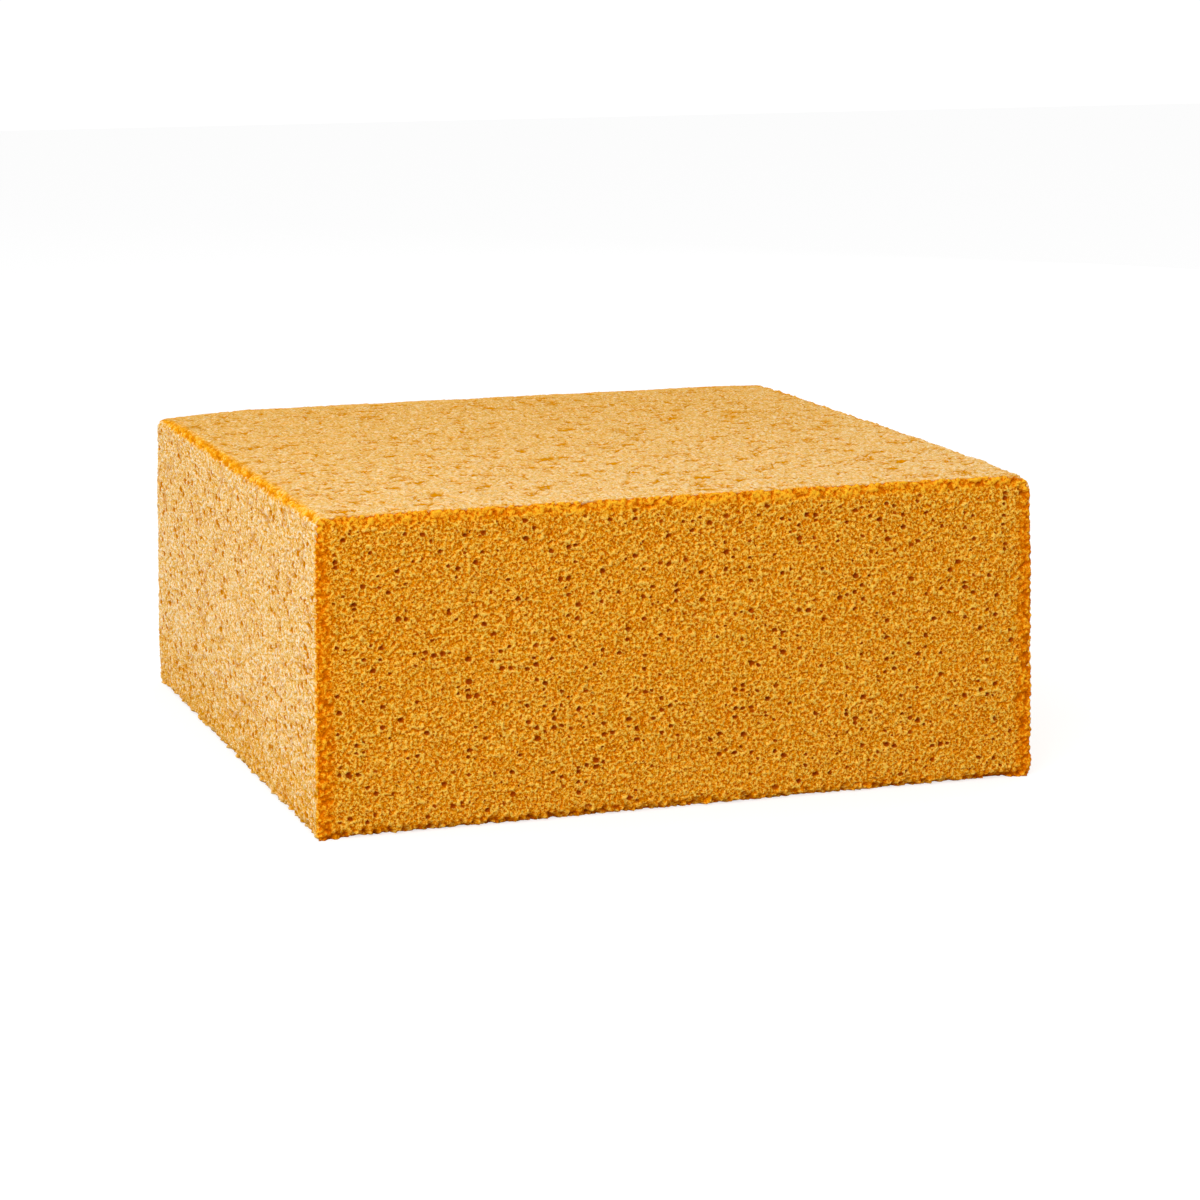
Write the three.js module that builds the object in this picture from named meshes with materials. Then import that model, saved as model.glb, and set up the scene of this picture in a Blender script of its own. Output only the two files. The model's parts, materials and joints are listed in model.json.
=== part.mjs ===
// Square white chocolate mud cake, uncut and bare: one solid block of dense sponge.
// Millimetres, +Z up. The origin is the centre of the flat base. The front face looks along -Y.
//
// A net of cells is laid over a box, drawn in to round the top and upright edges, and given
// the uneven crumb of a baked cake. Some of its cells hold an open pore or a shallow dent.

import * as THREE from "three";
import { ImprovedNoise } from "three/addons/math/ImprovedNoise.js";

const { clamp, lerp, seededRandom, smoothstep } = THREE.MathUtils;

// Driving dimensions of the block
const SIDE = 250; // width and depth
const HEIGHT = 105;
const EDGE_RADIUS = 5; // of the top edges and the upright edges
const WALL_BULGE = 0.5; // how far each wall swells at half height
const CORNER_DROOP = 1.2; // how far the top sinks at its corners
const CORNER_DROOP_REACH = 24; // distance from a corner over which it sinks

// Unevenness of the crumb
const SWELL = 0.5; // slow hills and hollows of every face
const SWELL_PITCH = 17;
const GRAIN = 0.22; // roughness from point to point
const FOOT_GRAIN = 0.8; // extra roughness of the torn foot
const FOOT_BAND = 7; // height of the torn foot

// Net of cells over the box
const CELLS_ACROSS = 32; // along each side of the square
const CELLS_UP = 14; // from the base to the top
const CELLS_IN_EDGE = 2; // cells that share the rounding of an edge
const CELLS_IN_FOOT = 1; // lowest cells of a wall, which hold no pore

// Open pores of air bubbles in the walls, and shallow dents in the crust of the top.
// The share is that of the cells that hold one.
const WALL_PORES = { share: 0.2, radius: [0.9, 1.9], depth: [0.9, 2.0] };
const TOP_DENTS = { share: 0.05, radius: [1.6, 2.6], depth: [0.4, 0.8] };
const PORE_MARGIN = 0.6; // least width of crumb between a pore and the border of its cell
const RIM_HALF_STEP = Math.PI / 8; // the rim of a pore has eight sides, two for each corner of its cell

const SEED = 20;
const CRUMB = { color: 0xd8963a, roughness: 0.8, metalness: 0 };

const noise = new ImprovedNoise();

// Random draws, which follow on from each other after the one that is seeded in cakeGeometry.
const between = ([low, high]) => lerp(low, high, seededRandom());
const eitherWay = () => between([-1, 1]);

// Distance from the start of a row of cells to its given line. The cells in a rounded edge are short.
function lineAt(index, cells, length, [startCells, endCells]) {
  const start = startCells > 0 ? EDGE_RADIUS : 0;
  const end = endCells > 0 ? length - EDGE_RADIUS : length;
  if (index < startCells) return (start * index) / startCells;
  if (index > cells - endCells) return length - ((length - end) * (cells - index)) / endCells;
  return lerp(start, end, (index - startCells) / (cells - startCells - endCells));
}

const acrossAt = (index) =>
  lineAt(index, CELLS_ACROSS, SIDE, [CELLS_IN_EDGE, CELLS_IN_EDGE]) - SIDE / 2;

const upAt = (index) => lineAt(index, CELLS_UP, HEIGHT, [0, CELLS_IN_EDGE]);

const isBorder = (index) => index === 0 || index === CELLS_ACROSS;

// How far the crumb stands out of the rounded block at a place on it.
function reliefAt(place, onWall) {
  const bulge = onWall ? WALL_BULGE * Math.sin((Math.PI * place.z) / HEIGHT) : 0;
  const swell = SWELL * noise.noise(...place.clone().divideScalar(SWELL_PITCH));
  const grain = GRAIN + FOOT_GRAIN * (1 - smoothstep(place.z, 0, FOOT_BAND));
  return bulge + swell + grain * eitherWay();
}

// The sinking of the top towards its corners.
function droopAt(place) {
  const toCorner = Math.hypot(SIDE / 2 - Math.abs(place.x), SIDE / 2 - Math.abs(place.y));
  const share = 1 - smoothstep(toCorner, 0, CORNER_DROOP_REACH);
  return CORNER_DROOP * share * (place.z / HEIGHT);
}

// The point of the cake's surface for one point of the net.
function surfacePoint(i, j, k) {
  const onBox = new THREE.Vector3(acrossAt(i), acrossAt(j), upAt(k));
  const inset = SIDE / 2 - EDGE_RADIUS;
  const core = new THREE.Vector3(
    clamp(onBox.x, -inset, inset),
    clamp(onBox.y, -inset, inset),
    Math.min(onBox.z, HEIGHT - EDGE_RADIUS),
  );
  const outward = onBox.clone().sub(core).normalize();
  const place = core.addScaledVector(outward, EDGE_RADIUS);
  const relief = reliefAt(place, isBorder(i) || isBorder(j));
  const point = place.clone().addScaledVector(outward, relief);
  point.z -= droopAt(place);
  return point;
}

// Collects points and triangles. Points of the net are shared by their place in it.
class Net {
  constructor() {
    this.positions = [];
    this.triangles = [];
    this.placed = new Map();
  }

  addPoint(point) {
    this.positions.push(point);
    return this.positions.length - 1;
  }

  at(i, j, k) {
    const key = `${i},${j},${k}`;
    if (!this.placed.has(key)) this.placed.set(key, this.addPoint(surfacePoint(i, j, k)));
    return this.placed.get(key);
  }

  // A cell with nothing in it: its corners run anticlockwise seen from outside.
  addPlainCell([a, b, c, d]) {
    this.triangles.push([a, b, c], [a, c, d]);
  }

  // A cell with an open pore: two points of the pore's rim for each corner, and one at its bottom.
  addPoreCell(corners, { radius, depth, stray }) {
    const [a, b, c, d] = corners.map((index) => this.positions[index]);
    const along = b.clone().add(c).sub(a).sub(d).divideScalar(2);
    const beside = c.clone().add(d).sub(a).sub(b).divideScalar(2);
    const room = Math.min(along.length(), beside.length()) / 2 - radius - PORE_MARGIN;
    const inward = beside.clone().cross(along).normalize();
    along.normalize();
    beside.copy(along).cross(inward);

    const middle = a.clone().add(b).add(c).add(d).divideScalar(corners.length);
    middle.addScaledVector(along, room * stray[0]).addScaledVector(beside, room * stray[1]);
    const bottom = this.addPoint(middle.clone().addScaledVector(inward, depth));
    const rim = corners.map((_, corner) => {
      const toCorner = (2 * corner - 3) * (Math.PI / 4);
      return [toCorner - RIM_HALF_STEP, toCorner + RIM_HALF_STEP].map((angle) => {
        const point = middle.clone().addScaledVector(along, radius * Math.cos(angle));
        return this.addPoint(point.addScaledVector(beside, radius * Math.sin(angle)));
      });
    });

    corners.forEach((corner, index) => {
      const next = (index + 1) % corners.length;
      const [before, after] = rim[index];
      this.triangles.push([corner, after, before]);
      this.addPlainCell([corner, corners[next], rim[next][0], after]);
      this.triangles.push([before, after, bottom], [after, rim[next][0], bottom]);
    });
  }

  // Closes the flat base with a fan about the origin. The outline of the foot runs anticlockwise.
  addBase(outline) {
    const centre = this.addPoint(new THREE.Vector3(0, 0, 0));
    outline.forEach((point, index) => {
      this.triangles.push([outline[(index + 1) % outline.length], point, centre]);
    });
  }

  toGeometry() {
    const geometry = new THREE.BufferGeometry().setFromPoints(this.positions);
    geometry.setIndex(this.triangles.flat());
    geometry.computeVertexNormals();
    return geometry;
  }
}

// The outline of the net, anticlockwise from above, as [i, j] pairs from the front left corner.
function outlineOfNet() {
  const pairs = [];
  for (let n = 0; n < CELLS_ACROSS; n += 1) pairs.push([n, 0]);
  for (let n = 0; n < CELLS_ACROSS; n += 1) pairs.push([CELLS_ACROSS, n]);
  for (let n = CELLS_ACROSS; n > 0; n -= 1) pairs.push([n, CELLS_ACROSS]);
  for (let n = CELLS_ACROSS; n > 0; n -= 1) pairs.push([0, n]);
  return pairs;
}

// Whether the cell at an index lies between the cells that are kept free of pores at either end.
const isClear = (index, cells, [startCells, endCells]) =>
  index >= startCells && index < cells - endCells;

const isClearAcross = (index) => isClear(index, CELLS_ACROSS, [CELLS_IN_EDGE, CELLS_IN_EDGE]);

const isClearUp = (index) => isClear(index, CELLS_UP, [CELLS_IN_FOOT, CELLS_IN_EDGE]);

// Lays one cell, which holds a pore in a share of the cells where one may be.
function layCell(net, corners, kind, mayHoldPore) {
  if (!mayHoldPore || seededRandom() > kind.share) {
    net.addPlainCell(corners);
    return;
  }
  const radius = between(kind.radius);
  const depth = between(kind.depth);
  net.addPoreCell(corners, { radius, depth, stray: [eitherWay(), eitherWay()] });
}

function layWalls(net, outline) {
  for (let k = 0; k < CELLS_UP; k += 1) {
    outline.forEach(([i, j], n) => {
      const [nextI, nextJ] = outline[(n + 1) % outline.length];
      const low = [net.at(i, j, k), net.at(nextI, nextJ, k)];
      const high = [net.at(nextI, nextJ, k + 1), net.at(i, j, k + 1)];
      const mayHoldPore = isClearAcross(n % CELLS_ACROSS) && isClearUp(k);
      layCell(net, [...low, ...high], WALL_PORES, mayHoldPore);
    });
  }
}

function layTop(net) {
  for (let j = 0; j < CELLS_ACROSS; j += 1) {
    for (let i = 0; i < CELLS_ACROSS; i += 1) {
      const near = [net.at(i, j, CELLS_UP), net.at(i + 1, j, CELLS_UP)];
      const far = [net.at(i + 1, j + 1, CELLS_UP), net.at(i, j + 1, CELLS_UP)];
      layCell(net, [...near, ...far], TOP_DENTS, isClearAcross(i) && isClearAcross(j));
    }
  }
}

function cakeGeometry() {
  seededRandom(SEED);
  const net = new Net();
  const outline = outlineOfNet();
  layWalls(net, outline);
  layTop(net);
  net.addBase(outline.map(([i, j]) => net.at(i, j, 0)));
  return net.toGeometry();
}

const cake = new THREE.Mesh(cakeGeometry(), new THREE.MeshStandardMaterial(CRUMB));
cake.name = "cake";

const mudCake = new THREE.Group();
mudCake.add(cake);

export default mudCake;
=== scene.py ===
"""White chocolate mud cake: an uncut, bare square block of dense golden crumb.

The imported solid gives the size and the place. A plain core and five slabs of crumb replace it, with open
pores, a creased crust, browned edges and a torn foot, in a plain pale studio. Lengths are metres.
"""

from __future__ import annotations

import json
import logging
import math
from dataclasses import dataclass, fields
from enum import Enum
from typing import Any, Union

import bmesh
import bpy
import numpy as np
from mathutils import Matrix, Vector

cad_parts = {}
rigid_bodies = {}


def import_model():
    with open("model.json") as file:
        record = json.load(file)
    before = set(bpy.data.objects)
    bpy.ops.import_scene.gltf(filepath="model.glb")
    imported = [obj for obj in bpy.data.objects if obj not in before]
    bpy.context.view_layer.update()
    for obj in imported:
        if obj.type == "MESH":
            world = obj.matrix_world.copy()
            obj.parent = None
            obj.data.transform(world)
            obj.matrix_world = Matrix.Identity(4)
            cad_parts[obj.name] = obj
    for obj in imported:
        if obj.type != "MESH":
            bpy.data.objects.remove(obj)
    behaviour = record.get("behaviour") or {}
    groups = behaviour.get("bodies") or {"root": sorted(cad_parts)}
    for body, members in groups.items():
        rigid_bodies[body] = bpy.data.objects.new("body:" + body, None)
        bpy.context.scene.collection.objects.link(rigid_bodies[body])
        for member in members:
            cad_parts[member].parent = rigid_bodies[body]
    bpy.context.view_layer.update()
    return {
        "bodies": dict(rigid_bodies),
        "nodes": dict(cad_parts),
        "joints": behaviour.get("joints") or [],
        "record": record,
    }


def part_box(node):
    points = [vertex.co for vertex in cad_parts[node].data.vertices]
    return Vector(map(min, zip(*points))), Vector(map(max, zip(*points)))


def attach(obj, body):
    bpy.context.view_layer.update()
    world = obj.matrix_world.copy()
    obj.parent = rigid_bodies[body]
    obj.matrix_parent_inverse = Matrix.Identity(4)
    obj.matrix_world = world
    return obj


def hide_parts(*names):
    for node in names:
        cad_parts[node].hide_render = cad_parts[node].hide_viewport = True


log = logging.getLogger("mud_cake")

MM = 0.001
CAKE_NODE = "cake"
CAKE_BODY = "root"
BAKE_MAP = "OFBake"
REST = "rest"  # each point's place on the plain block, which the materials read
OUTWARD = "outward"  # the way that the block looks there
NOISE_MEAN = 0.5
SLAB_THICKNESS = 6 * MM
WHITE = (1.0, 1.0, 1.0)

Colour = tuple[float, float, float]
Drawn = tuple[float, float, float]
Feed = Union["Wire", float, str, tuple, bpy.types.ID]


def added(name: str, data: bpy.types.ID) -> bpy.types.Object:
    """Adds an object to the scene.

    Args:
        name: its name.
        data: its mesh, light or camera.

    Returns:
        The object.
    """
    made = bpy.data.objects.new(name, data)
    bpy.context.scene.collection.objects.link(made)
    return made


def mark(mesh: bpy.types.Mesh, name: str, vectors: np.ndarray) -> None:
    """Stores a named vector on each point of a mesh."""
    mesh.attributes.new(name, "FLOAT_VECTOR", "POINT").data.foreach_set("vector", vectors.ravel())


@dataclass(frozen=True)
class Wire:
    """One output of a node. Arithmetic on it adds the nodes that work it out."""

    sketch: Sketch
    socket: bpy.types.NodeSocket

    def __add__(self, other: Feed) -> Wire:
        """This plus the other."""
        return self.sketch.combine("ADD", self, other)

    def __radd__(self, other: Feed) -> Wire:
        """The other plus this."""
        return self.sketch.combine("ADD", other, self)

    def __sub__(self, other: Feed) -> Wire:
        """This minus the other."""
        return self.sketch.combine("SUBTRACT", self, other)

    def __rsub__(self, other: Feed) -> Wire:
        """The other minus this."""
        return self.sketch.combine("SUBTRACT", other, self)

    def __mul__(self, other: Feed) -> Wire:
        """This times the other."""
        return self.sketch.combine("MULTIPLY", self, other)

    def __rmul__(self, other: Feed) -> Wire:
        """The other times this."""
        return self.sketch.combine("MULTIPLY", other, self)

    def __truediv__(self, other: Feed) -> Wire:
        """This over the other."""
        return self.sketch.combine("DIVIDE", self, other)

    def __rtruediv__(self, other: Feed) -> Wire:
        """The other over this."""
        return self.sketch.combine("DIVIDE", other, self)

    def __abs__(self) -> Wire:
        """This without its sign."""
        return self.sketch.add("ShaderNodeMath", {"operation": "ABSOLUTE"}, {"Value": self})

    def at_most(self, other: Feed) -> Wire:
        """The lesser of this and the other."""
        return self.sketch.combine("MINIMUM", self, other)

    def at_least(self, other: Feed) -> Wire:
        """The greater of this and the other."""
        return self.sketch.combine("MAXIMUM", self, other)

    def rises(self, low: Feed, high: Feed) -> Wire:
        """A smooth step: 0 where this is below low, 1 where it is above high.

        Args:
            low: where the step starts.
            high: where it ends.

        Returns:
            The step.
        """
        settings = {"interpolation_type": "SMOOTHSTEP"}
        feeds = {"Value": self, "From Min": low, "From Max": high}
        return self.sketch.add("ShaderNodeMapRange", settings, feeds)

    def axis(self, name: str) -> Wire:
        """The X, Y or Z of a vector."""
        return self.sketch.add("ShaderNodeSeparateXYZ", {}, {"Vector": self}, name)


class Sketch:
    """A node tree that is drawn by expressions."""

    def __init__(self, tree: bpy.types.NodeTree) -> None:
        """Draws in a tree, of a material or of Geometry Nodes."""
        self.tree = tree

    @staticmethod
    def pick(sockets: Any, key: str | None) -> bpy.types.NodeSocket:
        """Finds a live socket of a node.

        Args:
            sockets: the node's inputs or outputs.
            key: the socket's identifier or name, or None for the first one.

        Returns:
            The socket.
        """
        live = [socket for socket in sockets if socket.enabled]
        for name in ("identifier", "name"):
            for socket in live:
                if key is None or getattr(socket, name) == key:
                    return socket
        raise KeyError(key)

    def feed(self, socket: bpy.types.NodeSocket, value: Feed) -> None:
        """Links or sets one input.

        Args:
            socket: the input.
            value: a wire, or a fixed value.
        """
        if isinstance(value, Wire):
            self.tree.links.new(value.socket, socket)
            return
        if socket.type == "VECTOR" and isinstance(value, (int, float)):
            value = (value,) * 3
        if socket.type == "RGBA" and len(value) == 3:
            value = (*value, 1.0)
        socket.default_value = value

    def place(self, kind: str, settings: dict[str, Any], feeds: dict[str, Feed]) -> bpy.types.Node:
        """Adds a node.

        Args:
            kind: the node's type.
            settings: its own settings, which are set first.
            feeds: what goes into its sockets.

        Returns:
            The node.
        """
        node = self.tree.nodes.new(kind)
        for name, value in settings.items():
            setattr(node, name, value)
        for key, value in feeds.items():
            self.feed(self.pick(node.inputs, key), value)
        return node

    def add(
        self,
        kind: str,
        settings: dict[str, Any] | None = None,
        feeds: dict[str, Feed] | None = None,
        out: str | None = None,
    ) -> Wire:
        """Adds a node as place does and takes one of its outputs, the first one if none is named."""
        node = self.place(kind, settings or {}, feeds or {})
        return Wire(self, self.pick(node.outputs, out))

    def combine(self, operation: str, first: Feed, second: Feed) -> Wire:
        """Adds the node for one operation, by what it works on: colours, vectors or numbers.

        Args:
            operation: the operation's name in Blender.
            first: the left side.
            second: the right side.

        Returns:
            The result.
        """
        kinds = {side.socket.type for side in (first, second) if isinstance(side, Wire)}
        if "RGBA" in kinds:
            settings = {"data_type": "RGBA", "blend_type": operation}
            feeds = {"Factor_Float": 1.0, "A_Color": first, "B_Color": second}
            return self.add("ShaderNodeMix", settings, feeds, "Result_Color")
        if "VECTOR" in kinds or isinstance(first, tuple) or isinstance(second, tuple):
            feeds = {"Vector": first, "Vector_001": second}
            return self.add("ShaderNodeVectorMath", {"operation": operation}, feeds)
        feeds = {"Value": first, "Value_001": second}
        return self.add("ShaderNodeMath", {"operation": operation}, feeds)

    def blend(self, share: Feed, first: Feed, second: Feed) -> Wire:
        """Mixes two colours: a share of 0 gives the first and 1 the second."""
        feeds = {"Factor_Float": share, "A_Color": first, "B_Color": second}
        return self.add("ShaderNodeMix", {"data_type": "RGBA"}, feeds, "Result_Color")

    def noise(
        self, at: Wire, size: Feed, detail: float = 1.0, roughness: float = 0.5, warp: float = 0.0
    ) -> Wire:
        """Soft random unevenness from 0 to 1.

        Args:
            at: the place.
            size: about how far apart its hills are.
            detail: how much finer unevenness it holds.
            roughness: how strong the finer unevenness is.
            warp: how far its hills are drawn out of shape.

        Returns:
            The unevenness.
        """
        feeds = {"Vector": at, "Scale": 1 / size, "Detail": detail, "Roughness": roughness}
        return self.add("ShaderNodeTexNoise", {}, {**feeds, "Distortion": warp})

    def grains(self, at: Wire, size: Feed, flat: bool = False) -> tuple[Wire, Wire]:
        """Packed round grains.

        Args:
            at: the place.
            size: about how far apart they are.
            flat: whether they are packed in the plane of X and Z alone.

        Returns:
            The distance from the nearest grain's middle, from 0 to about 0.6 between grains, and a chance
            from 0 to 1 that is the same all over each grain.
        """
        if flat:
            at = self.add("ShaderNodeCombineXYZ", {}, {"X": at.axis("X"), "Y": at.axis("Z")})
        settings = {"voronoi_dimensions": "2D" if flat else "3D"}
        node = self.place("ShaderNodeTexVoronoi", settings, {"Vector": at, "Scale": 1 / size})
        distance, colour = (Wire(self, self.pick(node.outputs, name)) for name in ("Distance", "Color"))
        return distance, colour.axis("X")

    def stray(self, at: Wire, size: Feed, reach: Feed) -> Wire:
        """Moves a place a little, so that what is drawn there is bent out of shape.

        Args:
            at: the place.
            size: about how far apart the bends are.
            reach: how far they move it.

        Returns:
            The moved place.
        """
        bend = self.add("ShaderNodeTexNoise", {}, {"Vector": at, "Scale": 1 / size}, "Color")
        feeds = {"Vector": bend, "Vector_001": NOISE_MEAN}
        return at + self.add("ShaderNodeVectorMath", {"operation": "SUBTRACT"}, feeds) * reach


class ShapeSketch(Sketch):
    """A Geometry Nodes tree with named inputs, which works on one mesh."""

    def __init__(self, name: str, values: dict[str, float]) -> None:
        """Makes an empty tree.

        Args:
            name: the tree's name.
            values: its named inputs, with the value that each is given.
        """
        tree = bpy.data.node_groups.new(name, "GeometryNodeTree")
        super().__init__(tree)
        self.values = values
        tree.interface.new_socket("Geometry", in_out="OUTPUT", socket_type="NodeSocketGeometry")
        tree.interface.new_socket("Geometry", in_out="INPUT", socket_type="NodeSocketGeometry")
        for key in values:
            tree.interface.new_socket(key, in_out="INPUT", socket_type="NodeSocketFloat")
        self.source = tree.nodes.new("NodeGroupInput")

    def given(self, name: str) -> Wire:
        """The named input as a wire."""
        return Wire(self, self.pick(self.source.outputs, name))

    def trait(self, name: str) -> Wire:
        """A stored vector of the mesh, by its name."""
        return self.add("GeometryNodeInputNamedAttribute", {"data_type": "FLOAT_VECTOR"}, {"Name": name})

    def store(self, shape: Wire, name: str, vector: Wire) -> Wire:
        """The shape with a vector stored on each of its points."""
        feeds = {"Geometry": shape, "Name": name, "Value": vector}
        return self.add("GeometryNodeStoreNamedAttribute", {"data_type": "FLOAT_VECTOR"}, feeds)

    def forget(self, shape: Wire, name: str) -> Wire:
        """The shape without a stored vector."""
        return self.add("GeometryNodeRemoveAttribute", {}, {"Geometry": shape, "Name": name})

    def push(self, shape: Wire, offset: Wire) -> Wire:
        """The shape with its points moved."""
        return self.add("GeometryNodeSetPosition", {}, {"Geometry": shape, "Offset": offset})

    def close(self, shape: Wire, material: bpy.types.Material) -> None:
        """Ends the tree: instances made real, and in their material.

        Args:
            shape: what the tree has made.
            material: its material.
        """
        real = self.add("GeometryNodeRealizeInstances", {}, {"Geometry": shape})
        dressed = self.add("GeometryNodeSetMaterial", {}, {"Geometry": real, "Material": material})
        self.place("NodeGroupOutput", {}, {"Geometry": dressed})

    def apply(self, piece: bpy.types.Object) -> None:
        """Runs the tree on a piece and keeps the result as its plain mesh.

        Args:
            piece: the piece, which keeps no modifier.
        """
        modifier = piece.modifiers.new(self.tree.name, "NODES")
        modifier.node_group = self.tree
        for item in self.tree.interface.items_tree:
            if item.in_out == "INPUT" and item.name in self.values:
                modifier[item.identifier] = self.values[item.name]
        depsgraph = bpy.context.evaluated_depsgraph_get()
        made = bpy.data.meshes.new_from_object(piece.evaluated_get(depsgraph), depsgraph=depsgraph)
        piece.modifiers.clear()
        made.name = piece.name
        piece.data = made


class Face(Enum):
    """The faces of the cake: the way each one runs, rises and looks."""

    FRONT = ((1, 0, 0), (0, 0, 1), (0, -1, 0))
    RIGHT = ((0, 1, 0), (0, 0, 1), (1, 0, 0))
    BACK = ((-1, 0, 0), (0, 0, 1), (0, 1, 0))
    LEFT = ((0, -1, 0), (0, 0, 1), (-1, 0, 0))
    TOP = ((1, 0, 0), (0, 1, 0), (0, 0, 1))

    @property
    def axes(self) -> tuple[np.ndarray, np.ndarray, np.ndarray]:
        """Along the face, up it and out of it."""
        along, rise, out = (np.array(axis, float) for axis in self.value)
        return along, rise, out


class Edges(Enum):
    """The edges along which a surface is browned."""

    CUT_FRAME = "the sides and the top of the cut front, where the crust is cut through"
    UPPER = "the upper edge of a wall"
    OUTER = "the edges of the top, apart from the cut front's"


@dataclass(frozen=True)
class Block:
    """The plain block that the crumb stands out of: where its sides are and how its edges are rounded."""

    half_width: float
    half_depth: float
    height: float
    edge_radius: float = 2.2 * MM
    left_wider: float = 1.0 * MM  # how much wider the edges are rounded at the left
    front_wider: float = 3.8 * MM  # and at the front right
    cut_radius: float = 1.0 * MM  # of the edges of the cut front
    bulge: float = 0.2 * MM  # how far each wall swells at half height
    flare: float = 1.8 * MM  # how much further out each wall stands at the base than at the top
    droop: float = 0.5 * MM  # how far the top sinks at its corners
    left_droop: float = 1.3 * MM  # how much further it sinks at the back left one
    droop_reach: float = 36 * MM
    foot_tuck: float = 0.5 * MM  # how far the walls draw in at the foot
    foot_height: float = 4 * MM

    STAND_OFF = 0.9 * MM  # how far swelling and crumb stand out of the walls
    RISE = 0.3 * MM  # how far they stand out of the top
    SLIM = 1.25  # how much slimmer the cut front's frame is along the top than at the sides
    TINY = 1e-9  # the least length that is divided by

    @classmethod
    def inside(cls, low: Vector, high: Vector) -> Block:
        """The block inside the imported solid's box, from its lowest corner to its highest."""
        size = high - low
        return cls(size.x / 2 - cls.STAND_OFF, size.y / 2 - cls.STAND_OFF, size.z - cls.RISE)

    @property
    def reach(self) -> np.ndarray:
        """How far the block reaches from the middle of its base along X, Y and Z."""
        return np.array([self.half_width, self.half_depth, self.height])

    def laid(self, on_box: np.ndarray, face: Face) -> tuple[np.ndarray, np.ndarray]:
        """Lays points of one face of a sharp box on the rounded, swollen block.

        Args:
            on_box: the points, one a row.
            face: the face that they are on.

        Returns:
            Their places on the block, and the way the block looks there.
        """
        to_right = 0.5 + on_box[:, :1] / (2 * self.half_width)
        to_front = 0.5 - on_box[:, 1:2] / (2 * self.half_depth)
        wider = self.left_wider * (1 - to_right) + self.front_wider * to_right * to_front**2
        radius = self.edge_radius + wider
        inset = self.reach - radius
        core = np.clip(on_box, inset * [-1, 0, 0] - [0, self.half_depth, 0], inset)
        lean = on_box - core
        depth = abs(lean).max(axis=1, keepdims=True)
        side = lean / np.maximum(np.linalg.norm(lean, axis=1, keepdims=True), self.TINY)
        forward = np.array(Face.FRONT.value[2], float)
        if face is Face.FRONT:
            turn = side * np.clip(1 + (depth - radius) / self.cut_radius, 0, 1) + forward
        else:
            turn = side + forward * np.clip(1 - (on_box[:, 1:2] + self.half_depth) / self.cut_radius, 0, 1)
        outward = turn / np.linalg.norm(turn, axis=1, keepdims=True)
        return self.settled(core + side * depth + self.cut_radius * (outward - turn)), outward

    def settled(self, points: np.ndarray) -> np.ndarray:
        """Swells the walls, draws in their foot and sinks the corners of the top.

        Args:
            points: places on the straight block.

        Returns:
            Their places on the baked one.
        """
        level = points[:, 2] / self.height
        foot = np.clip(1 - points[:, 2] / self.foot_height, 0, 1)
        swell = self.bulge * np.sin(np.pi * level) + self.flare * (0.5 - level) - self.foot_tuck * foot**2
        corner = np.hypot(*(self.reach[:2] - abs(points[:, :2])).T)
        share = np.clip(1 - corner / self.droop_reach, 0, 1)
        baked = points.copy()
        baked[:, :2] *= 1 + swell[:, None] / self.reach[:2]
        to_left, to_back = np.clip(points[:, :2] / self.reach[:2] * [-1, 1], 0, 1).T
        droop = self.droop + self.left_droop * to_left * to_back
        baked[:, 2] -= droop * share**2 * (3 - 2 * share) * level
        return baked

    def from_edge(self, at: Wire, edges: Edges) -> Wire:
        """How far a place is from the nearest of some edges.

        Args:
            at: the place.
            edges: the edges.

        Returns:
            The distance along a face.
        """
        if edges is Edges.UPPER:
            return self.height - at.axis("Z")
        to_side = self.half_width - abs(at.axis("X"))
        if edges is Edges.CUT_FRAME:
            return to_side.at_most((self.height - at.axis("Z")) * self.SLIM)
        return to_side.at_most(self.half_depth - at.axis("Y"))

    def from_corner(self, at: Wire) -> Wire:
        """How far along its wall a place is from the nearest upright edge."""
        to_side = self.half_width - abs(at.axis("X"))
        return to_side.at_least(self.half_depth - abs(at.axis("Y")))

    def from_cut(self, at: Wire, edges: Edges) -> Wire:
        """How far a place is from the sharp edge of the cut front.

        Args:
            at: the place.
            edges: the edges along which its face is browned.

        Returns:
            The distance along a face.
        """
        if edges is Edges.CUT_FRAME:
            return self.from_edge(at, edges)
        return at.axis("Y") + self.half_depth


@dataclass(frozen=True)
class CrumbTone:
    """The colours of one kind of crumb, from its bottom to its tips. The darker bottom is partly painted
    shade in the crevices and the paler tips partly a painted highlight, besides the crumb's own colour.
    """

    deep: Colour
    middle: Colour
    tip: Colour

    MIDDLE_STEP = (0.0, 0.55)  # the heights over which the deep colour turns into the middle one
    TIP_STEP = (0.45, 1.0)  # and those over which that turns into the tip's

    def shade(self, sketch: Sketch, lift: Wire) -> Wire:
        """The colour at a height in the crumb, from 0 to 1."""
        low = sketch.blend(lift.rises(*self.MIDDLE_STEP), self.deep, self.middle)
        return sketch.blend(lift.rises(*self.TIP_STEP), low, self.tip)


@dataclass(frozen=True)
class Spot:
    """A place on the cake, as a tree works on it."""

    sketch: Sketch
    at: Wire  # the place on the plain block
    block: Block
    size: dict[str, Feed]  # the numbers that shape the crumb, fixed or as wires


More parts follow.
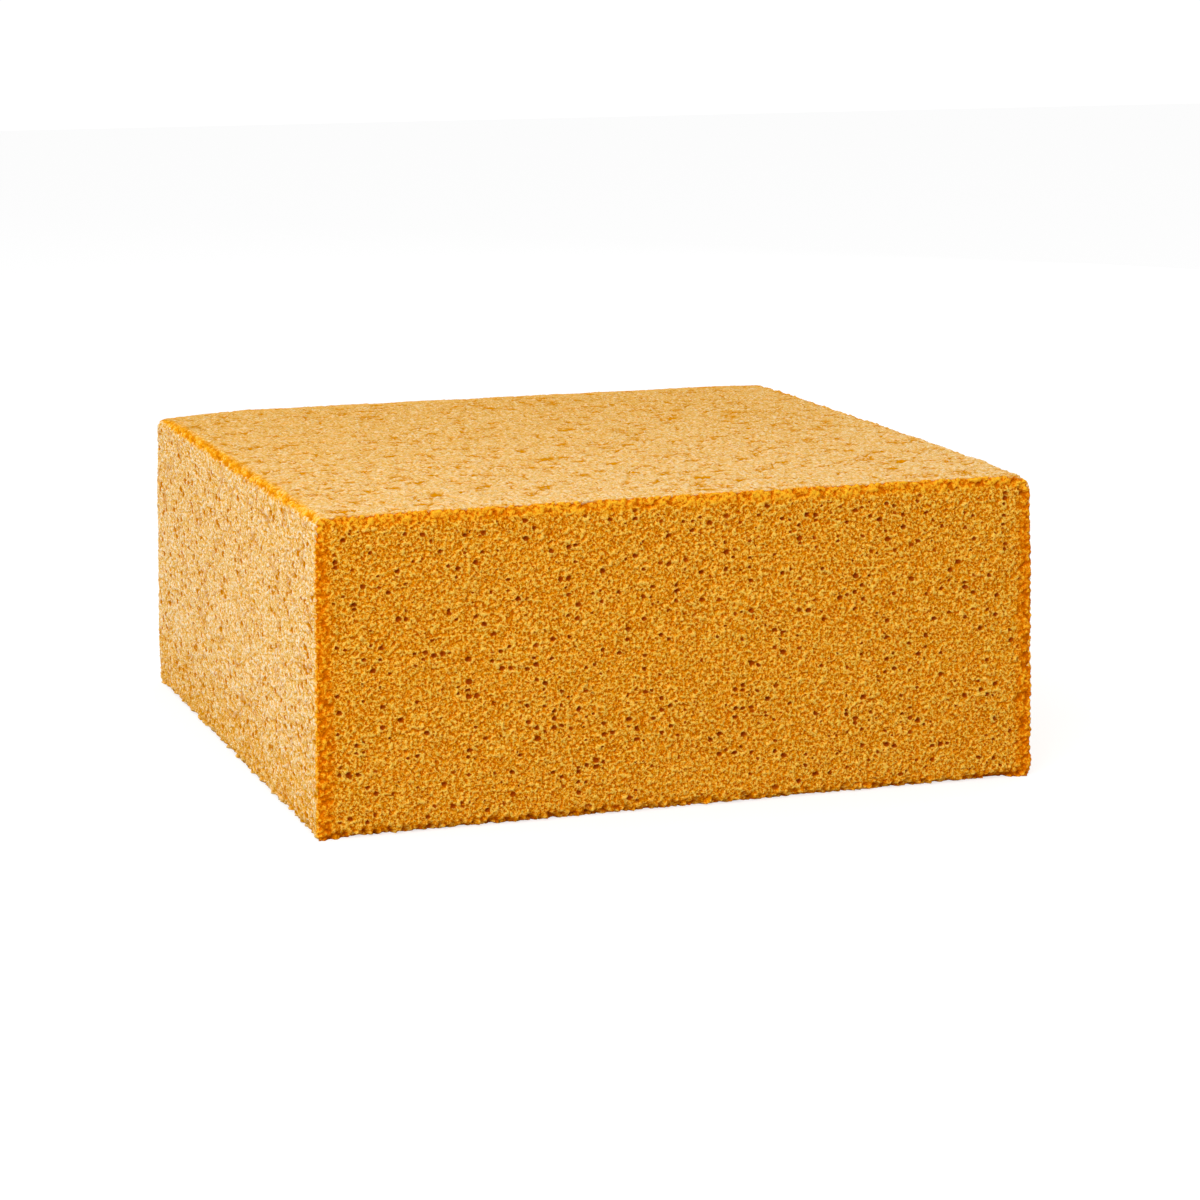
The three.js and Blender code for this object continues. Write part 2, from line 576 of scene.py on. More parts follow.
@dataclass(frozen=True)
class Pattern:
    """What the crumb is like at a place, as wires."""

    nodule: Wire  # the fine nodules, about 0 with a spread of 1
    bead: Wire  # round beads, from below 0 between them to 1 on their tips
    lump: Wire  # long lumps along the browned edges, from below 0 between them
    browned: Wire  # 1 along the browned edges
    beady: Wire  # how far the browned edges are beaded
    foot: Wire  # 1 at the torn foot
    arris: Wire  # 1 on the sharp edge of the cut front
    pore: Wire  # 1 at the bottom of an open pore or dent
    stain: Wire  # 1 where a pore or dent is coloured: painted shade in the open pores, and the crumb's own colour where the crust is torn in dents and creases

    BEAD_LEVEL = 0.4  # the height in a bead that is level with the block
    BEADED_CALM = 0.5  # how much flatter the nodules are among beads
    PLAIN_LIFT = 0.5
    NODULE_LIFT = 0.3  # how much nodules, beads and lumps add to it
    BEAD_LIFT = 0.45
    LUMP_LIFT = 0.36

    @property
    def lift(self) -> Wire:
        """The height in the crumb.

        Returns:
            From 0 at the bottom of the crumb to 1 at its tips.
        """
        beaded = self.beady.at_least(self.foot)
        nodules = self.NODULE_LIFT * self.nodule * (1 - self.BEADED_CALM * beaded)
        beads = self.BEAD_LIFT * (self.bead - self.BEAD_LEVEL) * beaded
        return self.PLAIN_LIFT + (nodules + beads) + self.LUMP_LIFT * self.lump


@dataclass(frozen=True)
class Crumb:
    """One kind of baked surface. The same sums shape its net and colour its material."""

    name: str
    edges: Edges
    tone: CrumbTone
    browned: CrumbTone
    # the colour of pores and dents: painted shade in the open pores, the crumb's own colour where the
    # crust is torn
    pore_colour: Colour
    browning_start: float  # how far from an edge the browning starts to fade
    browning_end: float
    nodule_size: float
    nodule_height: float
    pore_spacing: float
    pore_radius: float
    pore_depth: float
    ragged: float = 4 * MM  # how far the browning's border strays
    swell: float = 0.45 * MM
    swell_size: float = 17 * MM
    bead_size: float = 1.7 * MM
    bead_height: float = 0.6 * MM
    foot_band: float = 5 * MM
    foot_beads: float = 0.8  # how much taller the beads of the foot are
    gap_size: float = 2.8 * MM  # of the hollows under the torn foot
    gap_height: float = 3.2 * MM
    gap_depth: float = 2.6 * MM
    pore_drawn: Drawn = (1, 1, 1)  # less than 1 draws pores out along an axis
    nodule_drawn: Drawn = (1, 1, 1)
    lump_drawn: Drawn = (0.35, 0.35, 1)
    lump_size: float = 2.4 * MM
    lump_height: float = 0.5 * MM
    lumpy: float = 1.0  # whether the browned edge is lumpy
    beady: float = 0.6  # how far it is beaded
    creased: float = 0.0  # how deep the crust is creased
    crease_size: float = 11 * MM
    hollow: float = 0.0  # how far the crumb is made of hollow cells
    hollow_size: float = 1.3 * MM
    lip: float = 0.7  # how far the crumb stands up round a pore
    calm: float = 0.0  # how much smoother the crumb is at the back
    speckled: float = 0.7  # how strong its finest grain is
    fade: float = 0.0  # painted light: how much paler the crumb is painted at the front than at the back, where the light falls brighter
    low_fade: float = 0.0  # how much darker it is at the base
    glow: float = 0.0  # how much paler the browning is at the top
    roughness: float = 0.6
    shine: float = 1.0  # of the moist skin on the tips
    fine_grain: float = 0.5 * MM
    hue_size: float = 1.6 * MM

    # The fields that only the material reads.
    LOOKS = {"speckled", "fade", "low_fade", "glow", "roughness", "shine", "fine_grain", "hue_size"}

    # How the pattern is drawn. Each step is where something starts and ends.
    RAGGED_SIZE = 2.2 * MM  # of the bends of the browning's border
    TORN_SHARE = 0.2  # of the foot's band, that is torn all through
    ARRIS_STEP = (0.2 * MM, 1.6 * MM)  # the end of the sharp edge, from the cut front
    NEAR_STEP = (3 * MM, 14 * MM)  # the end of the calm, from the back
    SPARSE = 0.9  # the size of pores where they are small
    CROWDED = 0.15  # how much larger they are elsewhere
    CROWD_SIZE = 24 * MM
    CROWD_STEP = (0.35, 0.65)
    PORE_BEND = (0.4, 0.35)  # size and reach of the bends of a pore, in spacings
    PORE_SPREAD = 1.5  # of the sizes of pores, less the share that is too small to show
    PORE_LOSS = 0.5
    LEAST_PORE = 0.05
    PORE_STEP = (0.45, 1.0)  # the wall of a pore, in its radii
    STAIN_STEP = (0.75, 1.2)  # the border of its colour, which is painted shade in an open pore
    LIP_STEP = (0.9, 1.2)  # the inside of its lip
    LIP_END = (1.5, 2.4)
    CREASE_DETAIL = 2.0
    CREASE_STEP = (0.01, 0.045)  # the wall of a crease
    BREAK_AWAY = (1, 1, 1.01)  # keeps the breaks of creases apart from the creases
    BREAK_SIZE = 0.7  # of the breaks, in crease sizes
    BREAK_STEP = (0.45, 0.55)
    NODULE_NOISE = (1.5, 0.6, 0.8)  # detail, roughness and warp
    NODULE_SPREAD = 10
    CELL_BEND = (0.6, 0.5)  # size and reach of the bends of a hollow cell, in cells
    CELL_LEVEL = 0.4  # how far from its middle the cell is level with the block
    CELL_WALL = 3.2  # how steep its wall is
    ROUND = 3  # how round beads and lumps are
    LUMP_TOP = 0.6
    FLAT = (1, 1, 0)
    GAP_STEP = (0.38, 0.66)
    GAP_FULL = 0.5  # share of a gap's height where it is deepest
    GAP_SOFT = 0.6 * MM  # how far its edge is rounded
    CORNER_STEP = (1 * MM, 15 * MM)  # the end of the gaps, from a corner

    # How it is coloured.
    REDDER = (1.03, 0.96, 0.9)  # how the hue strays from place to place
    YELLOWER = (0.97, 1.04, 1.07)
    HUE_AWAY = (1.0, 0.0, 0.0)  # keeps the hue apart from the relief
    HUE_STEP = (0.3, 0.7)
    LOW_BAND = 30 * MM  # height of the darker base
    GLOW_BAND = (9 * MM, 4 * MM)  # where the glow starts and ends, below the top
    GLEAM_STEP = (0.75, 1.15)  # the heights in the crumb where it starts to be moist
    BROWNED_MATT = 0.8
    ROUGHNESS_SPREAD = 0.3
    BUMP_STRENGTH = 0.8
    BUMP_HEIGHT = 0.35 * MM
    COAT_ROUGHNESS = 0.3
    COAT_IOR = 1.45

    def sizes(self) -> dict[str, float]:
        """The numbers that shape the crumb.

        Returns:
            The numbers, by the names of the tree's inputs.
        """
        names = [item.name for item in fields(self) if item.name not in self.LOOKS]
        values = {name.replace("_", " ").title(): getattr(self, name) for name in names}
        return {name: value for name, value in values.items() if type(value) is float}

    def pores(self, spot: Spot) -> Wire:
        """How far a place is from the middle of the nearest pore.

        Args:
            spot: the place.

        Returns:
            The distance, in radii of that pore.
        """
        sketch, spacing = spot.sketch, spot.size["Pore Spacing"]
        crowd = self.SPARSE + self.CROWDED * sketch.noise(spot.at, self.CROWD_SIZE).rises(*self.CROWD_STEP)
        bent = sketch.stray(spot.at, *(spacing * part for part in self.PORE_BEND))
        bubble, chance = sketch.grains(bent * self.pore_drawn, spacing)
        largest = spot.size["Pore Radius"] / spacing * crowd
        return bubble / (largest * (self.PORE_SPREAD * chance - self.PORE_LOSS).at_least(self.LEAST_PORE))

    def creases(self, spot: Spot) -> Wire:
        """How deep the crust is creased, along broken lines.

        Args:
            spot: the place.

        Returns:
            The depth, from 0 to 1.
        """
        length = spot.size["Crease Size"]
        line = abs(spot.sketch.noise(spot.at, length, self.CREASE_DETAIL) - NOISE_MEAN)
        broken = spot.sketch.noise(spot.at * self.BREAK_AWAY, length * self.BREAK_SIZE)
        return (1 - line.rises(*self.CREASE_STEP)) * broken.rises(*self.BREAK_STEP) * spot.size["Creased"]

    def nodules(self, spot: Spot, pore: Wire) -> Wire:
        """The fine nodules, with the walls of hollow cells and the lips of pores.

        Args:
            spot: the place.
            pore: how far it is from the nearest pore.

        Returns:
            Their height, about 0 with a spread of 1.
        """
        sketch, size = spot.sketch, spot.size
        grain = sketch.noise(spot.at * self.nodule_drawn, size["Nodule Size"], *self.NODULE_NOISE)
        bent = sketch.stray(spot.at, *(size["Hollow Size"] * part for part in self.CELL_BEND))
        cell, _ = sketch.grains(bent, size["Hollow Size"], flat=True)
        lip = pore.rises(*self.LIP_STEP) * (1 - pore.rises(*self.LIP_END)) * size["Lip"]
        wall = (cell - self.CELL_LEVEL) * self.CELL_WALL + lip
        return (grain - NOISE_MEAN) * self.NODULE_SPREAD + wall * size["Hollow"]

    def pattern(self, spot: Spot) -> Pattern:
        """Works out the crumb at a place.

        Args:
            spot: the place.

        Returns:
            What the crumb is like there.
        """
        sketch, at, block, size = spot.sketch, spot.at, spot.block, spot.size
        stray = (sketch.noise(at, self.RAGGED_SIZE) - NOISE_MEAN) * size["Ragged"]
        from_edge = block.from_edge(at, self.edges) + stray
        browned = 1 - from_edge.rises(size["Browning Start"], size["Browning End"])
        foot = 1 - at.axis("Z").rises(size["Foot Band"] * self.TORN_SHARE, size["Foot Band"])
        arris = 1 - block.from_cut(at, self.edges).rises(*self.ARRIS_STEP)
        plain = (1 - browned) * (1 - foot) * (1 - arris)
        near = (block.half_depth - at.axis("Y")).rises(*self.NEAR_STEP)
        pore, crease = self.pores(spot), self.creases(spot)
        bead, _ = sketch.grains(at, size["Bead Size"])
        swelling, _ = sketch.grains(at * self.lump_drawn, size["Lump Size"])
        lump = self.LUMP_TOP - swelling * swelling * self.ROUND
        return Pattern(
            nodule=self.nodules(spot, pore) * (1 - size["Calm"] * (1 - near)),
            bead=1 - bead * bead * self.ROUND,
            lump=lump * browned * (1 - arris) * near * size["Lumpy"],
            browned=browned,
            beady=browned * near * size["Beady"],
            foot=foot,
            arris=arris,
            pore=(1 - pore.rises(*self.PORE_STEP)).at_least(crease) * plain,
            stain=(1 - pore.rises(*self.STAIN_STEP)).at_least(crease) * plain,
        )

    def gaps(self, spot: Spot) -> Wire:
        """The hollows under the torn foot, which end before its corners.

        Args:
            spot: the place.

        Returns:
            1 in a hollow, and else 0.
        """
        noise = spot.sketch.noise(spot.at * self.FLAT, spot.size["Gap Size"])
        top = noise.rises(*self.GAP_STEP) * spot.size["Gap Height"]
        gap = 1 - spot.at.axis("Z").rises(top * self.GAP_FULL, top + self.GAP_SOFT)
        return gap * spot.block.from_corner(spot.at).rises(*self.CORNER_STEP)

    def height(self, spot: Spot) -> Wire:
        """How far the crumb stands out of the block.

        Args:
            spot: the place.

        Returns:
            The height, in metres.
        """
        pattern, size = self.pattern(spot), spot.size
        beaded = pattern.beady.at_least(pattern.foot).at_least(pattern.arris)
        swell = (spot.sketch.noise(spot.at, size["Swell Size"]) - NOISE_MEAN) * 2 * size["Swell"]
        calm = 1 - pattern.BEADED_CALM * beaded
        fine = pattern.nodule * size["Nodule Height"] * calm * (1 - pattern.arris)
        taller = 1 + size["Foot Beads"] * pattern.foot
        beads = (pattern.bead - pattern.BEAD_LEVEL) * size["Bead Height"] * beaded * taller
        lumps = pattern.lump * size["Lump Height"]
        pores = pattern.pore * size["Pore Depth"]
        return swell + fine + beads + lumps - pores - self.gaps(spot) * size["Gap Depth"]

    def colour(self, spot: Spot, pattern: Pattern, lift: Wire) -> Wire:
        """The colour of the crumb.

        Args:
            spot: the place.
            pattern: what the crumb is like there.
            lift: the height in the crumb, from 0 to 1.

        Returns:
            The colour.
        """
        sketch = spot.sketch
        upper = spot.at.axis("Z").rises(*(spot.block.height - below for below in self.GLOW_BAND))
        browned = self.browned.shade(sketch, lift + self.glow * upper)
        edge = pattern.browned.at_least(pattern.arris)
        crust = sketch.blend(edge, self.tone.shade(sketch, lift), browned)
        # Pores are painted darker as painted shade; dents and creases take the colour of the crumb under
        # the crust.
        even = sketch.blend(pattern.stain, crust, self.pore_colour)
        hue = sketch.noise(spot.at + self.HUE_AWAY, self.hue_size).rises(*self.HUE_STEP)
        return sketch.blend(hue, even * self.REDDER, even * self.YELLOWER)

    def material(self, block: Block) -> bpy.types.Material:
        """Makes the material.

        Args:
            block: the block that it lies on.

        Returns:
            The material, which reads each point's place on the plain block.
        """
        material = bpy.data.materials.new(self.name)
        material.use_nodes = True
        material.node_tree.nodes.clear()
        sketch = Sketch(material.node_tree)
        at = sketch.add("ShaderNodeAttribute", {"attribute_name": REST}, out="Vector")
        spot = Spot(sketch, at, block, self.sizes())
        pattern = self.pattern(spot)
        speckle = sketch.noise(at, self.fine_grain) - NOISE_MEAN
        ahead = at.axis("Y") / (-2 * block.half_depth)
        low = 1 - at.axis("Z").rises(0.0, self.LOW_BAND)
        # Painted light: the crumb is painted paler toward the front. Its height in the crumb also sets its
        # colour, partly as painted shade in the crevices and a painted highlight on the tips.
        lift = pattern.lift + self.speckled * speckle + self.fade * ahead - self.low_fade * low
        matt = pattern.stain.at_least(pattern.browned * self.BROWNED_MATT).at_least(pattern.arris)
        bump = sketch.add(
            "ShaderNodeBump",
            feeds={"Strength": self.BUMP_STRENGTH, "Distance": self.BUMP_HEIGHT, "Height": lift},
        )
        surface = sketch.add(
            "ShaderNodeBsdfPrincipled",
            feeds={
                "Base Color": self.colour(spot, pattern, lift),
                "Roughness": self.roughness + self.ROUGHNESS_SPREAD * speckle,
                "Normal": bump,
                "Specular IOR Level": 0.0,
                "Coat Weight": self.shine * lift.rises(*self.GLEAM_STEP) * (1 - matt),
                "Coat Roughness": self.COAT_ROUGHNESS,
                "Coat IOR": self.COAT_IOR,
            },
        )
        sketch.place("ShaderNodeOutputMaterial", {}, {"Surface": surface})
        return material


@dataclass
class FaceSlab:
    """One face of the cake: a closed slab of crumb that lies on the core."""

    face: Face
    block: Block
    crumb: Crumb
    material: bpy.types.Material
    pitch: float = 0.53 * MM  # of the net over the face
    jitter: float = 0.3  # how far a point of the net strays, in cells
    thickness: float = SLAB_THICKNESS
    tuck: float = 0.8 * MM  # how far the rim dips under the next face
    cut_tuck: float = 0.4  # the share of that along the cut front's edges
    sole: float = 3.6 * MM  # how far in the rim lies at the base
    seed: int = 7

    GRID_MAP = ((0.01, 0.04), (0.99, 0.99))  # where the face, rim, edge and back lie on their map
    RIM_MAP = ((0.01, 0.002), (0.8, 0.010))
    EDGE_MAP = ((0.01, 0.014), (0.8, 0.022))
    BACK_MAP = ((0.84, 0.004), (0.99, 0.03))

    def build(self) -> bpy.types.Object:
        """Makes the piece.

        Returns:
            The piece, with its place in its mesh.
        """
        name = f"cake_{self.face.name.lower()}"
        piece = added(name, self.net(name))
        self.relief().apply(piece)
        return piece

    @property
    def span(self) -> tuple[float, float, float]:
        """How far the face reaches.

        Returns:
            Half of its width, and where it starts and ends along its rise.
        """
        along, rise, _ = self.face.axes
        end = rise @ self.block.reach
        return abs(along) @ self.block.reach, -end if self.face is Face.TOP else 0.0, end

    def plane(self, depth: float = 0.0) -> np.ndarray:
        """The way from the origin to a plane at some depth below the face."""
        _, _, out = self.face.axes
        return (abs(out) @ self.block.reach - depth) * out

    def shares(self, across: int, up: int) -> np.ndarray:
        """The points of the net, row by row. Those inside its border stray a little.

        Args:
            across: how many cells the net has along the face.
            up: how many it has up the face.

        Returns:
            The points, as shares of the face's width and height.
        """
        column, row = (grid.ravel() for grid in np.meshgrid(np.arange(across + 1), np.arange(up + 1)))
        place = np.stack([column, row], 1).astype(float)
        inner = ((place > 0) & (place < [across, up])).all(1)
        rng = np.random.default_rng(self.seed)
        place += inner[:, None] * rng.uniform(-self.jitter, self.jitter, place.shape)
        return place / [across, up]

    def tucked(
        self, share: np.ndarray, flat: np.ndarray, points: np.ndarray, outward: np.ndarray
    ) -> np.ndarray:
        """The rim of the slab, which dips under the next face, or under the slab at the base.

        Args:
            share: the points of the net's border, as shares of the face's width and height.
            flat: their places on the face, apart from how far out it lies.
            points: their places on the block.
            outward: the way the block looks there.

        Returns:
            The points of the rim.
        """
        along, rise, _ = self.face.axes
        beside = share * 2 - 1
        beside = np.where(abs(beside) == 1, beside, 0)
        tangent = beside[:, :1] * along + beside[:, 1:] * rise
        cut = (self.face is Face.FRONT) | (flat[:, 1:2] <= -self.block.half_depth)
        rim = points + self.tuck * (np.where(cut, self.cut_tuck, 1.0) * tangent - outward)
        if self.face is not Face.TOP:
            half, _, _ = self.span
            foot = beside[:, 1] < 0
            side = flat[foot] @ along
            drawn = np.sign(side) * np.minimum(abs(side), (half + abs(side)) / 2 - self.sole)
            rim[foot] = drawn[:, None] * along + self.plane(self.sole)
        return rim

    def back(self, flat: np.ndarray) -> np.ndarray:
        """The outline of the slab's back.

        Args:
            flat: the places of the net's border on the face, apart from how far out it lies.

        Returns:
            The points of the outline.
        """
        along, rise, out = self.face.axes
        half, start, end = self.span
        shrink = 1 - self.thickness / (abs(along) * half + abs(rise) * max(abs(start), end) + abs(out))
        return flat * np.where(abs(out) > 0, 1, shrink) + self.plane(self.thickness)

    def mapped(self, share: np.ndarray, quads: np.ndarray, border: np.ndarray) -> np.ndarray:
        """Lays the faces of the slab out on their map.

        Args:
            share: the points of the net, as shares of the face's width and height.
            quads: the cells of the net.
            border: the points of the net's border.

        Returns:
            The place of each corner of each face on the map.
        """
        step = np.arange(len(border))
        ring = np.stack([step + 1, step, step, step + 1], 1) / len(border)
        band = np.stack([ring, np.broadcast_to([1, 1, 0, 0], ring.shape)], 2)
        parts = (share[quads], band, band, share[border][::-1])
        places = (self.GRID_MAP, self.RIM_MAP, self.EDGE_MAP, self.BACK_MAP)
        laid = [
            low + part.reshape(-1, 2) * np.subtract(high, low)
            for part, (low, high) in zip(parts, places)
        ]
        return np.concatenate(laid).astype(np.float32)

    def net(self, name: str) -> bpy.types.Mesh:
        """A fine net over the face, closed by a rim and a plain back.

        Args:
            name: the mesh's name.

        Returns:
            The mesh, which carries the way that each point of the face looks.
        """
        along, rise, _ = self.face.axes
        half, start, end = self.span
        across, up = round(2 * half / self.pitch), round((end - start) / self.pitch)
        share = self.shares(across, up)
        flat = (share[:, :1] * 2 - 1) * half * along + (start + share[:, 1:] * (end - start)) * rise
        points, outward = self.block.laid(flat + self.plane(), self.face)

        wide = across + 1
        corner = (np.arange(up)[:, None] * wide + np.arange(across)).ravel()
        quads = np.stack([corner, corner + 1, corner + 1 + wide, corner + wide], 1)
        bottom, top = np.arange(across), up * wide + np.arange(across, 0, -1)
        right, left = np.arange(up) * wide + across, np.arange(up, 0, -1) * wide
        border = np.concatenate([bottom, right, top, left])
        rim = self.tucked(share[border], flat[border], points[border], outward[border])
        all_points = np.concatenate([points, rim, self.back(flat[border])])

        step = np.arange(len(border))
        rings = [border, len(points) + step, len(points) + len(border) + step]
        faces = quads.tolist()
        for outer, inner in zip(rings, rings[1:]):
            faces += np.stack([np.roll(outer, -1), outer, inner, np.roll(inner, -1)], 1).tolist()
        faces.append(rings[-1][::-1].tolist())

        mesh = bpy.data.meshes.new(name)
        mesh.from_pydata(all_points.tolist(), [], faces)
        mesh.polygons.foreach_set("use_smooth", np.arange(len(faces)) < len(quads))
        looks = np.zeros(all_points.shape, np.float32)
        looks[: len(points)] = outward
        mark(mesh, OUTWARD, looks)
        layer = mesh.uv_layers.new(name=BAKE_MAP)
        layer.data.foreach_set("uv", self.mapped(share, quads, border).ravel())
        return mesh

    def relief(self) -> ShapeSketch:
        """The face's relief, as Geometry Nodes.

        Returns:
            The tree, ready to run on the net.
        """
        sketch = ShapeSketch(f"relief of the {self.face.name.lower()}", self.crumb.sizes())
        size = {name: sketch.given(name) for name in sketch.values}
        at = sketch.add("GeometryNodeInputPosition")
        height = self.crumb.height(Spot(sketch, at, self.block, size))
        shape = sketch.store(sketch.given("Geometry"), REST, at)
        shape = sketch.push(shape, sketch.trait(OUTWARD) * height)
        sketch.close(sketch.forget(shape, OUTWARD), self.material)
        return sketch


@dataclass
class CakeCore:
    """The plain middle of the cake, which shows only from below."""

    block: Block
    material: bpy.types.Material
    inset: float = SLAB_THICKNESS
    cells: int = 40

    def build(self) -> bpy.types.Object:
        """Makes the piece.

        Returns:
            The piece, with its place in its mesh.
        """
        frame = bmesh.new()
        bmesh.ops.create_cube(frame, size=1.0)
        size = (self.block.reach - self.inset) * [2, 2, 1]
        bmesh.ops.scale(frame, vec=size, verts=frame.verts)
        bmesh.ops.translate(frame, vec=(0, 0, size[2] / 2), verts=frame.verts)
        bmesh.ops.subdivide_edges(frame, edges=frame.edges, cuts=self.cells - 1, use_grid_fill=True)
        mesh = bpy.data.meshes.new("cake_core")
        frame.to_mesh(mesh)
        frame.free()
        places = np.empty(3 * len(mesh.vertices), np.float32)
        mesh.vertices.foreach_get("co", places)
        mark(mesh, REST, places)
        mesh.materials.append(self.material)
        return added("cake_core", mesh)


CUT_CRUMB = Crumb(
    name="cut crumb",
    edges=Edges.CUT_FRAME,
    # the pale tip colour is partly a painted highlight, and the deep one partly painted shade
    tone=CrumbTone((0.55, 0.115, 0.0), (0.78, 0.265, 0.0), (0.95, 0.55, 0.07)),
    browned=CrumbTone((0.52, 0.11, 0.0), (0.73, 0.175, 0.0), (0.95, 0.45, 0.02)),
    # the pores' dark colour is painted shade
    pore_colour=(0.40, 0.062, 0.0),
    browning_start=3.2 * MM,
    browning_end=6.8 * MM,
    nodule_size=0.64 * MM,
    nodule_height=0.22 * MM,
    pore_spacing=2.3 * MM,
    pore_radius=0.93 * MM,
    pore_depth=1.2 * MM,
    pore_drawn=(0.8, 1, 1),
    lumpy=0.0,
    beady=0.8,
    hollow=1.0,
    glow=0.27,
    speckled=1.1,
    shine=0.6,
)
SIDE_CRUST = Crumb(
    name="side crust",
    edges=Edges.UPPER,
    # the pale cream tones are partly the crust's own colour and partly a painted sheen, the whitish
    # reflection of the surround at a slant
    tone=CrumbTone((0.67, 0.265, 0.0), (0.835, 0.505, 0.135), (0.91, 0.725, 0.49)),
    browned=CrumbTone((0.70, 0.23, 0.002), (0.86, 0.36, 0.006), (0.95, 0.57, 0.10)),
    pore_colour=(0.56, 0.18, 0.0),
    browning_start=1.8 * MM,
    browning_end=3.2 * MM,
    nodule_size=1.0 * MM,
    nodule_height=0.18 * MM,
    nodule_drawn=(0.6, 0.6, 1),
    pore_spacing=3.4 * MM,
    pore_radius=1.22 * MM,
    pore_depth=0.35 * MM,
    pore_drawn=(0.6, 0.6, 1),
    creased=0.5,
    low_fade=0.2,
    shine=0.3,
)
TOP_CRUST = Crumb(
    name="top crust",
    edges=Edges.OUTER,
    # the pale tones are partly the crust's own colour and partly a painted sheen, the whitish reflection
    # of the surround at a slant
    tone=CrumbTone((0.67, 0.31, 0.036), (0.775, 0.442, 0.110), (0.85, 0.60, 0.31)),
    browned=CrumbTone((0.66, 0.22, 0.002), (0.81, 0.34, 0.006), (0.90, 0.54, 0.095)),
    pore_colour=(0.62, 0.235, 0.0),
    browning_start=2.2 * MM,
    browning_end=5.0 * MM,
    nodule_size=1.3 * MM,
    nodule_height=0.19 * MM,
    nodule_drawn=(0.9, 1, 1),
    pore_spacing=4.0 * MM,
    pore_radius=1.75 * MM,
    pore_depth=0.5 * MM,
    pore_drawn=(0.42, 1.2, 1),
    creased=1.0,
    calm=0.6,
    # painted light: the top is painted paler toward its front edge
    fade=0.26,
    shine=0.3,
)
TOP_PITCH = 0.84 * MM


@dataclass(frozen=True)
class SoftBox:
    """A square lamp that looks at the foot of the cake."""

    name: str
    power: float
    side: float
    stands: tuple[float, float, float]

    def build(self) -> None:
        """Makes the lamp."""
        light = bpy.data.lights.new(self.name, "AREA")
        light.energy = self.power
        light.size = self.side
        lamp = added(self.name, light)
        lamp.location = self.stands
        lamp.rotation_euler = (-Vector(self.stands)).to_track_quat("-Z", "Y").to_euler()
        lamp.visible_camera = False


@dataclass(frozen=True)
class Studio:
    """A plain pale floor, a white surround and soft lamps."""

    floor_side: float = 8.0
    floor_colour: Colour = (0.35, 0.35, 0.35)
    floor_glow: float = 0.25
    floor_white: float = 0.45  # how much more it glows as the camera sees it
    floor_roughness: float = 0.9
    surround: float = 0.77
    backdrop: float = 1.05  # the surround as the camera sees it
    lamps: tuple[SoftBox, ...] = (
        SoftBox("front lamp", power=14.0, side=1.0, stands=(-0.65, -1.15, 1.0)),
        SoftBox("left lamp", power=6.3, side=1.2, stands=(-1.5, 0.0, 0.65)),
        SoftBox("back lamp", power=8.0, side=1.2, stands=(1.3, 1.0, 0.3)),
    )

    def build(self) -> None:
        """Makes the floor, the surround and the lamps."""
        scene = bpy.context.scene
        scene.view_settings.view_transform = "Standard"
        half = self.floor_side / 2
        mesh = bpy.data.meshes.new("floor")
        corners = [(-half, -half, 0), (half, -half, 0), (half, half, 0), (-half, half, 0)]
        mesh.from_pydata(corners, [], [(0, 1, 2, 3)])
        mesh.materials.append(self.floor_material())
        floor = added("floor", mesh)

        world = bpy.data.worlds.new("white surround")
        world.use_nodes = True
        sketch = Sketch(world.node_tree)
        seen = sketch.add("ShaderNodeLightPath", out="Is Camera Ray")
        background = world.node_tree.nodes["Background"]
        sketch.feed(background.inputs["Color"], WHITE)
        sketch.feed(background.inputs["Strength"], self.surround + seen * (self.backdrop - self.surround))
        scene.world = world
        for lamp in self.lamps:
            lamp.build()

    def floor_material(self) -> bpy.types.Material:
        """Makes the floor's matt white.

        Returns:
            The material, which glows more to the camera.
        """
        material = bpy.data.materials.new("floor white")
        material.use_nodes = True
        sketch = Sketch(material.node_tree)
        seen = sketch.add("ShaderNodeLightPath", out="Is Camera Ray")
        surface = material.node_tree.nodes["Principled BSDF"]
        sketch.feed(surface.inputs["Base Color"], self.floor_colour)
        sketch.feed(surface.inputs["Roughness"], self.floor_roughness)
        sketch.feed(surface.inputs["Specular IOR Level"], 0.0)
        sketch.feed(surface.inputs["Emission Color"], WHITE)
        sketch.feed(surface.inputs["Emission Strength"], self.floor_glow + seen * self.floor_white)
        return material


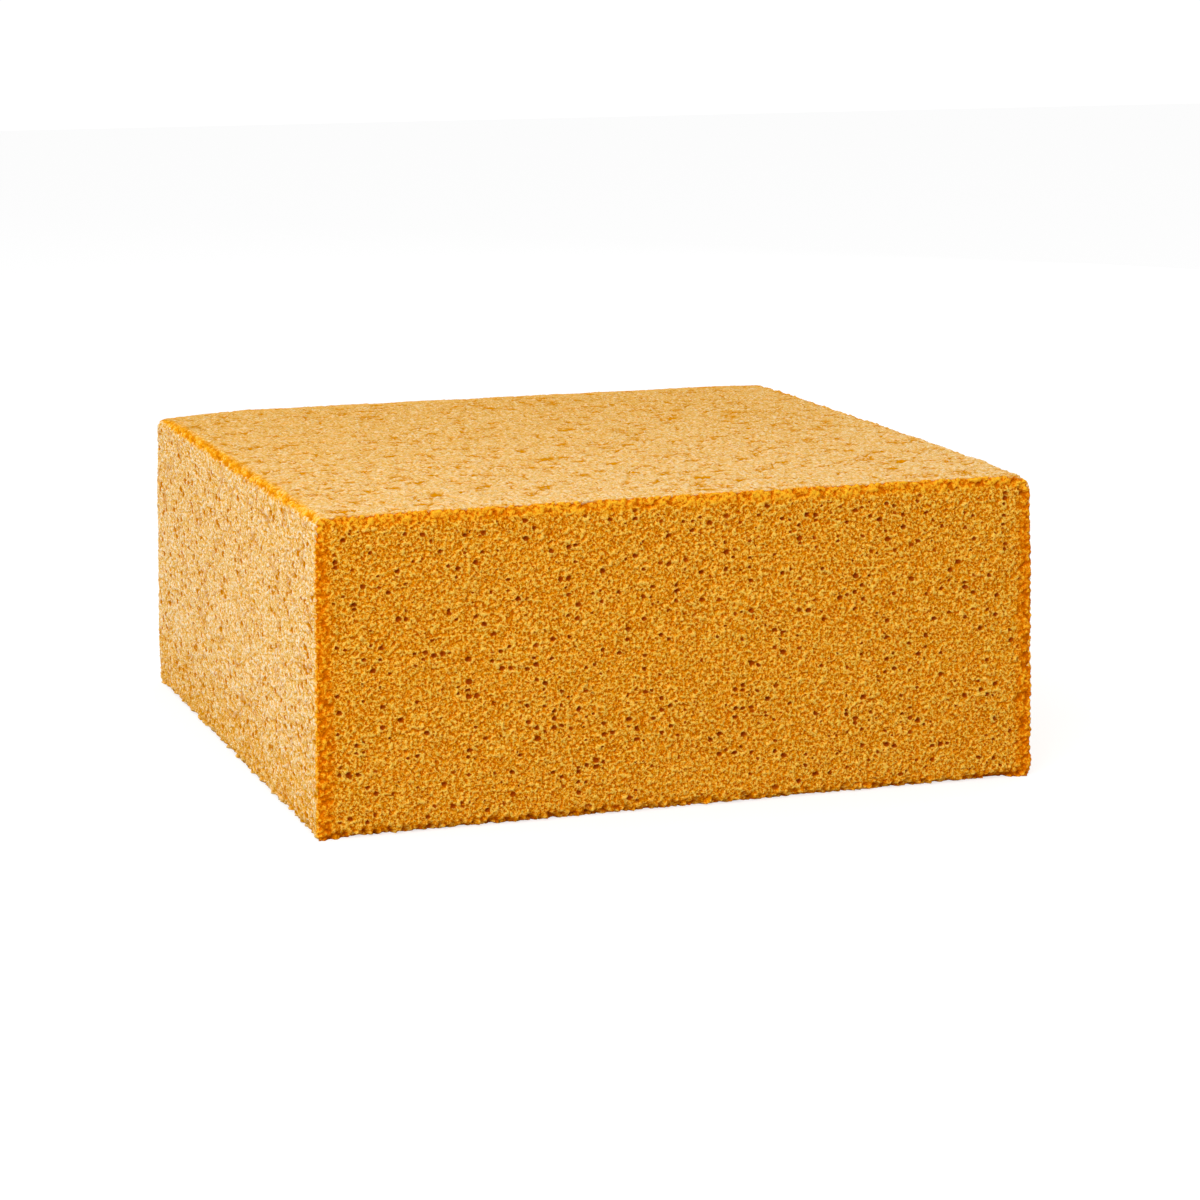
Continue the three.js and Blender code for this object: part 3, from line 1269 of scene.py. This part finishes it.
@dataclass(frozen=True)
class PhotoCamera:
    """The camera of the photograph, as fitted to the edges of the cake."""

    aim: tuple[float, float, float] = (11.04 * MM, -4.9 * MM, 47.0 * MM)
    azimuth_deg: float = 18.82  # how far it stands to the left of the front wall's middle
    elevation_deg: float = 11.19
    roll_deg: float = -0.29
    distance: float = 1.2194
    focal_px: float = 3353.0
    frame_px: float = 1200.0
    sensor: float = 36.0

    def build(self) -> None:
        """Makes the camera and makes it the scene's."""
        azimuth, elevation = math.radians(self.azimuth_deg), math.radians(self.elevation_deg)
        level = math.cos(elevation)
        ahead = Vector((math.sin(azimuth) * level, math.cos(azimuth) * level, -math.sin(elevation)))
        data = bpy.data.cameras.new("photo camera")
        data.sensor_width = self.sensor
        data.lens = self.focal_px / self.frame_px * self.sensor
        camera = added("photo camera", data)
        roll = Matrix.Rotation(math.radians(self.roll_deg), 4, "Z")
        turn = ahead.to_track_quat("-Z", "Y").to_matrix().to_4x4() @ roll
        camera.matrix_world = Matrix.Translation(Vector(self.aim) - ahead * self.distance) @ turn
        bpy.context.scene.camera = camera


def report(piece: bpy.types.Object) -> None:
    """Logs a finished piece."""
    piece.data.calc_loop_triangles()
    log.info("%s: %d triangles", piece.name, len(piece.data.loop_triangles))


def main() -> None:
    """Builds the camera, the studio and the cake."""
    logging.basicConfig(level=logging.INFO, format="%(name)s: %(message)s")
    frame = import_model()
    block = Block.inside(*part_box(CAKE_NODE))
    PhotoCamera().build()
    Studio().build()

    cut, side, top = (crumb.material(block) for crumb in (CUT_CRUMB, SIDE_CRUST, TOP_CRUST))
    pieces = [CakeCore(block, side).build(), FaceSlab(Face.FRONT, block, CUT_CRUMB, cut).build()]
    for face in (Face.RIGHT, Face.BACK, Face.LEFT):
        pieces.append(FaceSlab(face, block, SIDE_CRUST, side).build())
    pieces.append(FaceSlab(Face.TOP, block, TOP_CRUST, top, pitch=TOP_PITCH).build())
    for piece in pieces:
        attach(piece, CAKE_BODY)
        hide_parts(CAKE_NODE)
        report(piece)


if __name__ == "__main__":
    main()
